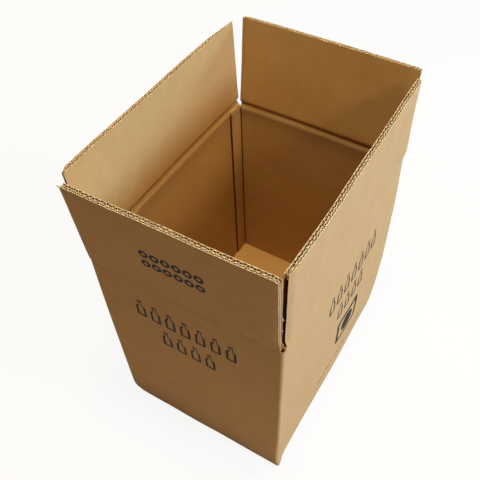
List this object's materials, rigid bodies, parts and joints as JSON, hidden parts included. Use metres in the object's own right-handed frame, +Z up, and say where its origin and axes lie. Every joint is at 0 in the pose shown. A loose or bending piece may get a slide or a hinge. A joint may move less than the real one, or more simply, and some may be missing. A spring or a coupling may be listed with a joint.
{
  "type": "bottle shipping box",
  "caption": "Slotted carton of double-wall corrugated board for bottles: hinged top flaps standing open, bottom folded shut, side joint glued on an inner tab.",
  "frame": {"origin": "middle of the underside, on the ground; the standing flaps lean outward by different angles, so the middle of the whole box is a few millimetres away", "axes": "+Z up, X across the short panels with the front panel at -Y, Y along the long panels"},
  "size_m": [0.305, 0.4111, 0.5279],
  "materials": {
    "kraft_board": "uncoated brown kraft paper, matt"
  },
  "bodies": {
    "carton": {"carton_body": "kraft_board"},
    "front_flap": {"front_flap": "kraft_board"},
    "right_flap": {"right_flap": "kraft_board"},
    "back_flap": {"back_flap": "kraft_board"},
    "left_flap": {"left_flap": "kraft_board"}
  },
  "joints": [
    {"name": "front_flap_fold", "type": "hinge", "parent": "carton", "child": "front_flap", "pos_m": [0, -0.1896, 0.3799], "axis": [1, 0, 0], "range_deg": [-94.3, 113.7]},
    {"name": "right_flap_fold", "type": "hinge", "parent": "carton", "child": "right_flap", "pos_m": [0.1446, 0, 0.387], "axis": [0, 1, 0], "range_deg": [-91.5, 116.5]},
    {"name": "back_flap_fold", "type": "hinge", "parent": "carton", "child": "back_flap", "pos_m": [0, 0.1896, 0.3799], "axis": [-1, 0, 0], "range_deg": [-97, 111]},
    {"name": "left_flap_fold", "type": "hinge", "parent": "carton", "child": "left_flap", "pos_m": [-0.1446, 0, 0.387], "axis": [0, -1, 0], "range_deg": [-93.8, 114.2]}
  ]
}
